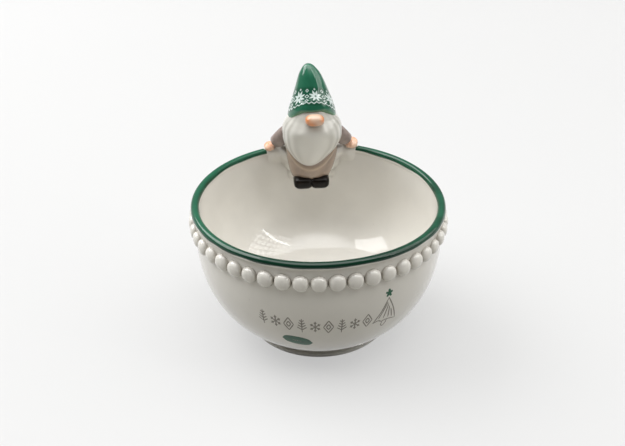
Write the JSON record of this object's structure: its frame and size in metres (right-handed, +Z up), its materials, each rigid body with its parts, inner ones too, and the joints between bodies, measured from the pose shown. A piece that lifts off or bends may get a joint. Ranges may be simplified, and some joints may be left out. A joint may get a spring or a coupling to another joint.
{
  "type": "gnome bowl",
  "caption": "Round glazed ceramic bowl with a beaded band, a coloured rim and a tomte gnome in a tall hat that hangs inside the rim by both hands.",
  "frame": {"origin": "centre of the foot ring's resting face, on the bowl's upright axis", "axes": "+Z up along the bowl's axis; the gnome stands at +Y and faces -Y, the bowl's middle; +X is to the right of someone who looks at the gnome's face"},
  "size_m": [0.1462, 0.1462, 0.1374],
  "materials": {
    "white_glaze": "clear gloss glaze over white clay",
    "rim_green": "green underglaze under clear gloss glaze",
    "hat_green": "green underglaze with a white knit pattern under clear gloss glaze",
    "beard_white": "clear gloss glaze over white clay",
    "tunic_beige": "beige-brown underglaze under clear gloss glaze",
    "sleeve_taupe": "grey-brown underglaze under clear gloss glaze",
    "skin_peach": "peach underglaze under clear gloss glaze",
    "boot_black": "black underglaze under clear gloss glaze"
  },
  "bodies": {
    "root": {"bowl_body": "white_glaze", "foot_ring": "white_glaze", "bead_band": "white_glaze", "saddle": "white_glaze", "rim_band": "rim_green", "hat": "hat_green", "beard": "beard_white", "head": "beard_white", "tunic": "tunic_beige", "left_sleeve": "sleeve_taupe", "right_sleeve": "sleeve_taupe", "nose": "skin_peach", "left_hand": "skin_peach", "right_hand": "skin_peach", "left_boot": "boot_black", "right_boot": "boot_black"}
  },
  "joints": []
}
